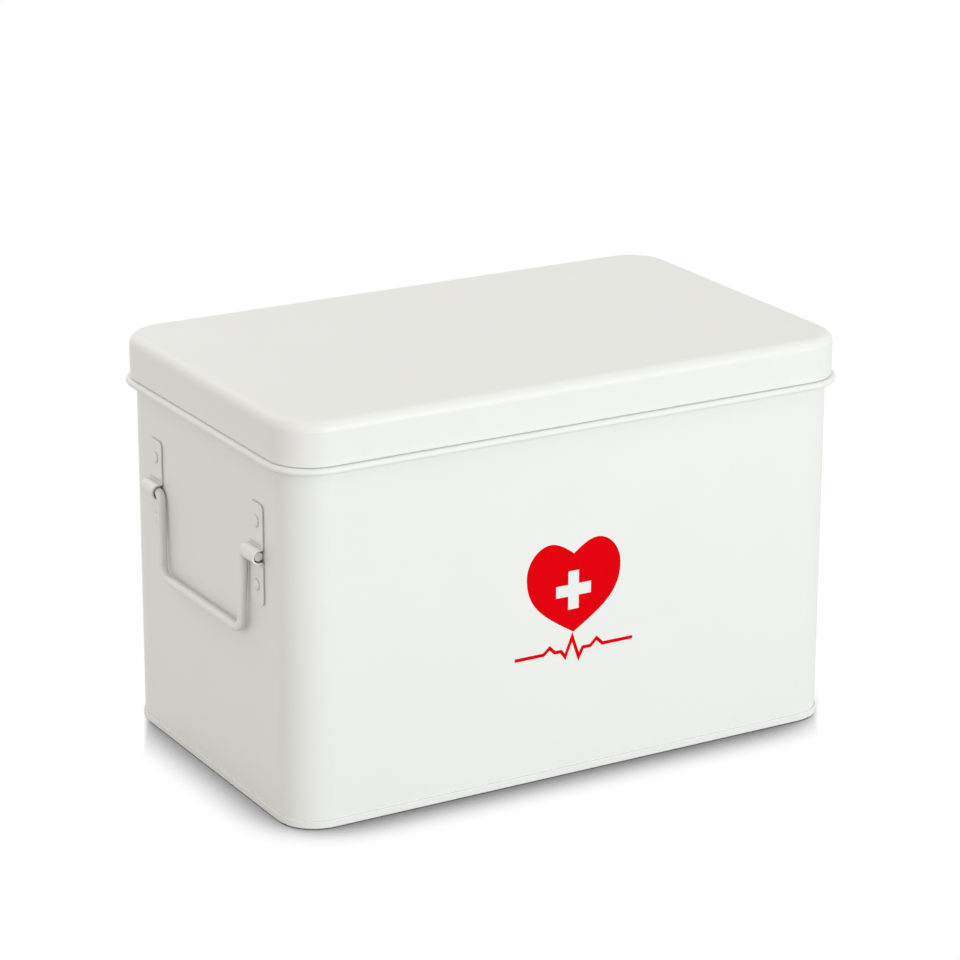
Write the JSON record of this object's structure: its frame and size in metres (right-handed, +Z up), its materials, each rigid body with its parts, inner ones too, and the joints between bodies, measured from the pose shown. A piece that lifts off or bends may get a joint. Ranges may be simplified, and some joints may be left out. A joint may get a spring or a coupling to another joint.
{
  "type": "medicine box",
  "caption": "Rounded sheet steel medicine box with a lift-off lid, a rolled bead and neck, wire side handles in strap brackets, and a lift-out divided tray.",
  "frame": {"origin": "middle of the foot, on the surface that the box stands on", "axes": "+X along the length to the right-hand handle, -Y out of the printed front, +Z up"},
  "size_m": [0.3232, 0.1972, 0.2055],
  "materials": {
    "white_enamel": "smooth satin white powder coat",
    "bracket_enamel": "satin white powder coat over the riveted brackets",
    "handle_enamel": "satin white coat on round wire",
    "tray_enamel": "satin white coat",
    "divider_enamel": "satin off-white coat",
    "red_print": "flat screen-printed red ink"
  },
  "bodies": {
    "box": {"body_wall": "white_enamel", "base_pan": "white_enamel", "left_tray_ledge": "white_enamel", "right_tray_ledge": "white_enamel", "left_front_bracket": "bracket_enamel", "left_rear_bracket": "bracket_enamel", "right_front_bracket": "bracket_enamel", "right_rear_bracket": "bracket_enamel"},
    "lid": {"lid": "white_enamel"},
    "left_handle": {"left_handle": "handle_enamel"},
    "right_handle": {"right_handle": "handle_enamel"},
    "tray": {"tray_pan": "tray_enamel", "long_divider": "divider_enamel", "left_divider": "divider_enamel", "middle_divider": "divider_enamel", "right_divider": "divider_enamel"}
  },
  "joints": [
    {"name": "lid_lift", "type": "slide", "parent": "box", "child": "lid", "axis": [0, 0, 1], "range_m": [0, 0.12]},
    {"name": "tray_lift", "type": "slide", "parent": "box", "child": "tray", "axis": [0, 0, 1], "range_m": [0, 0.06]},
    {"name": "left_handle_swing", "type": "hinge", "parent": "box", "child": "left_handle", "pos_m": [-0.15775, 0, 0.132], "axis": [0, 1, 0], "range_deg": [0, 177]},
    {"name": "right_handle_swing", "type": "hinge", "parent": "box", "child": "right_handle", "pos_m": [0.15775, 0, 0.132], "axis": [0, -1, 0], "range_deg": [0, 177]}
  ],
  "couplings": [
    {"joint": "tray_lift", "follows": "lid_lift", "ratio": 0.5}
  ]
}
